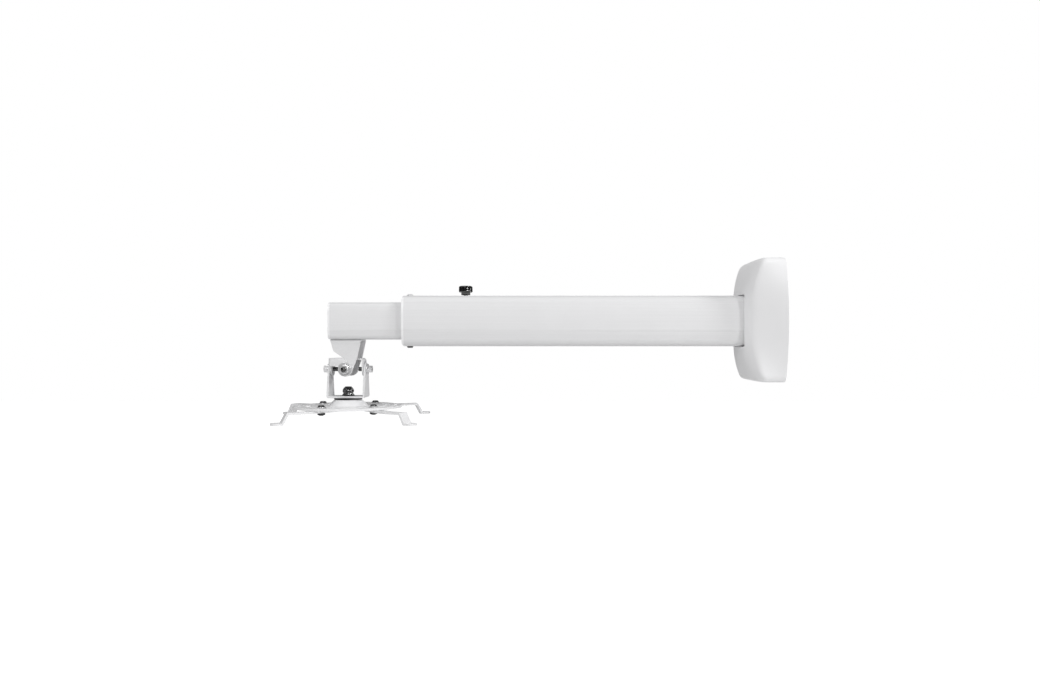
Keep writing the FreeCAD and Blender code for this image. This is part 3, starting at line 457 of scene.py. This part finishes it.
def lock_knob():
    """Lobed cap over a plain boss: the profile's radius is drawn in by hollows round the rim."""
    low, high = (np.array(corner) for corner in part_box("lock_knob"))
    middle = (low + high) / 2
    full = (high[1] - low[1]) / 2
    top = high[2]
    base = top - KNOB_CAP
    rim = full - KNOB_LEAN
    arc = np.linspace(0, math.pi / 2, KNOB_ARC)
    boss = [(KNOB_BOSS, low[2]), (KNOB_BOSS, low[2] + KNOB_FOOT), (KNOB_BOSS, base - KNOB_NECK),
            (KNOB_BOSS + KNOB_FLARE, base)]
    lower = [(full + KNOB_LOW_ROUND * (math.sin(a) - 1), base + KNOB_LOW_ROUND * (1 - math.cos(a)))
             for a in arc]
    side = [(full, base + KNOB_RIM_START), (rim, top - KNOB_TOP_ROUND - KNOB_RIM_END)]
    upper = [(rim + KNOB_TOP_ROUND * (math.cos(a) - 1), top + KNOB_TOP_ROUND * (math.sin(a) - 1))
             for a in arc]
    dish = [(full * share, top - depth) for share, depth in KNOB_DISH]
    profile = np.array(boss + lower + side + upper + dish)
    radius, height = profile[:, :1], profile[:, 1:]
    angle = np.linspace(0, 2 * math.pi, KNOB_COLUMNS, endpoint=False)
    hollow = np.clip(np.cos(KNOB_HOLLOWS * angle + KNOB_TURN), 0.0, 1) ** KNOB_HOLLOW_POWER
    weight = np.clip((radius - full * KNOB_HOLLOW_FROM) / (full * (1 - KNOB_HOLLOW_FROM)), 0, 1)
    weight = weight * (height > base - KNOB_NECK / 2)
    radius = radius * (1 - KNOB_HOLLOW * hollow * weight)
    place_on(turned("lock_knob_finished", middle, angle, radius, height), "lock_knob")


# Swivel nut: shares of the half width across flats, and of the height
NUT_SHOULDER = 0.82                     # height at which the dome starts
NUT_DRAWN_IN = 0.86                     # the dome's radius there
NUT_CORNER = 1.14                       # radius to which the hexagon's corners are turned down
NUT_COLUMNS = 96
NUT_FLANGE = [(0.97, 0.0), (1.0, 0.02), (1.0, 0.1), (0.97, 0.13)]
NUT_WAIST = [(0.88, 0.15), (0.87, 0.17), (0.87, 0.24), (0.89, 0.27)]
NUT_HEXAGON = [(0.98, 0.36), (1.0, 0.39), (1.0, 0.42), (1.0, 0.6), (0.995, 0.64)]
NUT_CONE_END = [(NUT_DRAWN_IN + 0.006, NUT_SHOULDER - 0.02)]
NUT_TOP = [(0.3, 1.0)]
NUT_ARC = 12                            # points of the dome


def swivel_nut():
    """Cap nut: a flange, a waist, a hexagon that stands straight, a cone, and a dome that closes
    as a flattened quarter ellipse."""
    low, high = (np.array(corner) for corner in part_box("swivel_nut"))
    middle = (low + high) / 2
    across = (high - low)[:2]
    reach = across.min() / 2
    corner = across.max() / 2
    dome = [(NUT_DRAWN_IN * math.cos(a) ** 0.5, NUT_SHOULDER + (1 - NUT_SHOULDER) * math.sin(a))
            for a in np.linspace(0, math.pi / 2, NUT_ARC)[:-1]]
    profile = np.array(NUT_FLANGE + NUT_WAIST + NUT_HEXAGON + NUT_CONE_END + dome + NUT_TOP)
    share, upward = profile[:, :1], profile[:, 1:]
    angle = np.linspace(0, 2 * math.pi, NUT_COLUMNS, endpoint=False)
    turn = 0.0 if across[0] > across[1] else math.pi / 6
    flats = np.cos(math.pi / 6) / np.cos((angle - turn) % (math.pi / 3) - math.pi / 6)
    hexagon = np.minimum(corner * flats, reach * NUT_CORNER)
    roundness = np.clip((upward - NUT_SHOULDER) / (1 - NUT_SHOULDER), 0, 1)
    radius = share * (hexagon * (1 - roundness) + reach * roundness)
    height = low[2] + upward * (high[2] - low[2])
    place_on(turned("swivel_nut_finished", middle, angle, radius, height), "swivel_nut")


# Threads
THREAD_SLOT = "black_steel"
THREAD_LIFT = 0.01 * MM                 # clear of the CAD bolt's surface
THREAD_RIDGE = 0.16                     # height of the ridge as a share of the pitch
THREAD_COLUMNS = 40
ROWS_TO_PITCH = 8
LEAST_ROWS = 12
OFF_AXIS = (0.3, 0.5, 0.8)              # direction that no bolt points in
ROLL_RADIUS = 3.0 * MM
ROLL_PITCH = 1.0 * MM
ROLL_PAST_NUT = 1.0 * MM                # how far the thread runs into the nut
ROLL_LEAD = 0.02 * MM                   # how far it starts before the bolt's end
TILT_RADIUS = 2.5 * MM
TILT_PITCH = 0.8 * MM
TILT_TIP = 5.2 * MM                     # length of a tilt bolt inside the bracket
TILT_SHEET = 2.0 * MM                   # the bracket's sheet
TILT_PAST_SHEET = 0.5 * MM              # how far the thread runs into it


def threaded(name, node, start, axis, radius, length, pitch):
    """Helical ridge round a bolt: the radius follows a triangle wave of the distance along it
    less one pitch for each turn."""
    axis = np.asarray(axis, dtype=float)
    side = np.cross(axis, OFF_AXIS)
    side /= np.linalg.norm(side)
    other = np.cross(axis, side)
    along = np.linspace(0, length, max(LEAST_ROWS, int(length / pitch * ROWS_TO_PITCH)))[:, None]
    angle = np.linspace(0, 2 * math.pi, THREAD_COLUMNS, endpoint=False)[None, :]
    phase = (along / pitch - angle / (2 * math.pi)) % 1.0
    ridge = 1 - np.abs(2 * phase - 1)
    fade = np.clip(np.minimum(along, length - along) / pitch, 0, 1)
    size = radius + THREAD_LIFT + THREAD_RIDGE * pitch * ridge * fade
    round_axis = np.cos(angle)[..., None] * side + np.sin(angle)[..., None] * other
    grid = np.asarray(start) + along[..., None] * axis + size[..., None] * round_axis
    piece = skin(name, grid)
    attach(piece, BODY_OF[node])
    piece.data.materials.append(FINISH[THREAD_SLOT])


def threads():
    """Thread on the showing length of the roll bolt and of both tilt bolts."""
    nut_low, nut_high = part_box("roll_nut")
    bolt_low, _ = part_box("roll_bolt")
    web_low, web_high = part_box("gimbal_bracket")
    centre_x = (nut_low.x + nut_high.x) / 2
    centre_z = (nut_low.z + nut_high.z) / 2
    threaded("roll_thread", "roll_bolt", (centre_x, bolt_low.y - ROLL_LEAD, centre_z), (0, 1, 0),
             ROLL_RADIUS, nut_low.y - bolt_low.y + ROLL_PAST_NUT, ROLL_PITCH)
    into_sheet = TILT_SHEET - TILT_PAST_SHEET
    for name, x, way in (("tilt_thread_left", web_low.x + into_sheet, 1),
                         ("tilt_thread_right", web_high.x - into_sheet, -1)):
        threaded(name, "tilt_bolts", (x, 0, centre_z), (way, 0, 0),
                 TILT_RADIUS, TILT_TIP + TILT_PAST_SHEET, TILT_PITCH)


# Rounding of the other visible CAD pieces' edges, in mm
EDGE_WIDTHS = {
    "outer_tube": 0.25, "inner_tube": 0.25, "guide_collar": 0.5, "inner_end_cap": 0.6,
    "hanger_bracket": 0.35, "gimbal_bracket": 0.35, "yoke": 0.35, "spider_disc": 0.35,
    "friction_washer": 0.3, "collar_plug": 0.45, "collar_screw": 0.8, "roll_nut": 0.25,
    "roll_bolt": 0.25, "roll_washers": 0.2, "tilt_bolts": 0.35, "tilt_washers": 0.2,
    "swivel_bolt": 0.15, "swivel_washer": 0.2, "hanger_screws": 0.15, "tube_screws": 0.15,
    "wall_plate": 0.4, "rear_glide": 0.4,
}
ARM_EDGE = 0.35
CLAMP_EDGE = 0.18


def finished_sheet_and_fasteners():
    """Rounded edges on the CAD pieces. The clamps' washers are bright, as in the photograph."""
    widths = dict(EDGE_WIDTHS)
    for node in frame["nodes"]:
        if node.startswith("arm_"):
            widths[node] = ARM_EDGE
        elif node.startswith("clamp_"):
            widths[node] = CLAMP_EDGE
    for node, width in widths.items():
        piece = softened(node, width * MM)
        if node.startswith("clamp_washer"):
            piece.data.materials[0] = FINISH["bright_steel"]


# Studio
WHITE = (1.0, 1.0, 1.0, 1.0)
AMBIENT = 0.31                          # strength of the surroundings as light
MIRRORED = 0.04                         # their strength in reflections
FLOOR_Z = -0.95
FLOOR_HALF = 12.0
FLOOR_COLOUR = (0.9, 0.9, 0.9, 1.0)
FLOOR_GLOW = 0.9                        # what the camera sees besides the floor's lit colour
FLOOR_BOUNCE = 0.09                     # what the object gets of it
# Name, place, aim, width in m and power in W
LAMPS = (
    ("key_lamp", (1.5, -0.85, 1.0), (-0.25, 0.0, -0.02), 0.5, 15.0),
    ("glint_lamp", (0.72, -1.17, 0.2), (-0.37, 0.0, 0.05), 0.15, 4.0),
    ("side_lamp", (-0.9, -1.87, 0.8), (-0.15, 0.0, 0.0), 0.55, 11.5),
    ("top_lamp", (-0.95, -0.25, 1.75), (-0.3, 0.0, 0.0), 1.1, 9.5),
    ("back_lamp", (0.1, 2.0, 0.7), (-0.3, 0.0, 0.0), 1.5, 6.0),
)


def mixed(tree, share, first, second):
    """Output of a Mix Shader node: the first at a share of 0, the second at 1."""
    return add_node(tree, "ShaderNodeMixShader", {0: share, 1: first, 2: second}).outputs[0]


def surroundings():
    """White to the camera, dim in reflections, and an even light on the object."""
    world = bpy.data.worlds.new("studio")
    bpy.context.scene.world = world
    world.use_nodes = True
    tree = world.node_tree
    tree.nodes.clear()
    ray = tree.nodes.new("ShaderNodeLightPath").outputs
    lit, mirrored, seen = (
        add_node(tree, "ShaderNodeBackground", {"Color": WHITE, "Strength": strength}).outputs[0]
        for strength in (AMBIENT, MIRRORED, 1.0))
    around = mixed(tree, ray["Is Glossy Ray"], lit, mirrored)
    add_node(tree, "ShaderNodeOutputWorld",
             {"Surface": mixed(tree, ray["Is Camera Ray"], around, seen)})


def pale_floor():
    """Floor that takes a shadow and glows to the camera, more than it lights the object."""
    mesh = bpy.data.meshes.new("floor")
    mesh.from_pydata([(x * FLOOR_HALF, y * FLOOR_HALF, FLOOR_Z)
                      for x, y in ((-1, -1), (1, -1), (1, 1), (-1, 1))], [], [(0, 1, 2, 3)])
    floor = link(bpy.data.objects.new("floor", mesh))
    material = bpy.data.materials.new("pale_floor")
    material.use_nodes = True
    tree = material.node_tree
    tree.nodes.clear()
    ray = tree.nodes.new("ShaderNodeLightPath").outputs
    lit = add_node(tree, "ShaderNodeBsdfDiffuse", {"Color": FLOOR_COLOUR}).outputs[0]
    bounce, glow = (add_node(tree, "ShaderNodeEmission", {"Strength": strength}).outputs[0]
                    for strength in (FLOOR_BOUNCE, FLOOR_GLOW))
    both = add_node(tree, "ShaderNodeAddShader",
                    {0: lit, 1: mixed(tree, ray["Is Camera Ray"], bounce, glow)})
    add_node(tree, "ShaderNodeOutputMaterial", {"Surface": both.outputs[0]})
    mesh.materials.append(material)


def studio():
    """Plain pale floor, white surroundings for the camera, and soft lamps."""
    bpy.context.scene.view_settings.view_transform = "Standard"
    surroundings()
    pale_floor()
    for name, place, aim, width, power in LAMPS:
        light = bpy.data.lights.new(name, "AREA")
        light.shape = "SQUARE"
        light.size = width
        light.energy = power
        lamp = link(bpy.data.objects.new(name, light))
        lamp.location = place
        way = Vector(aim) - Vector(place)
        lamp.rotation_euler = way.to_track_quat("-Z", "Y").to_euler()


def camera():
    """Camera square on to the tubes, its lens shifted as the photograph's frame needs."""
    data = bpy.data.cameras.new("camera")
    data.sensor_width = SENSOR
    data.lens = FOCAL / PHOTO_WIDTH * SENSOR
    data.shift_x = (PHOTO_WIDTH / 2 - AXIS_X) / PHOTO_WIDTH
    data.shift_y = (AXIS_Y - PHOTO_HEIGHT / 2) / PHOTO_WIDTH
    data.clip_start = CLIP_START
    view = link(bpy.data.objects.new("camera", data))
    view.location = ((AXIS_X - WALL_X) * PIXEL, -FOCAL * PIXEL, (TUBES_Y - AXIS_Y) * PIXEL)
    view.rotation_euler = (math.pi / 2, 0, 0)
    bpy.context.scene.camera = view


camera()
studio()
wall_cover()
lock_knob()
swivel_nut()
finished_sheet_and_fasteners()
threads()
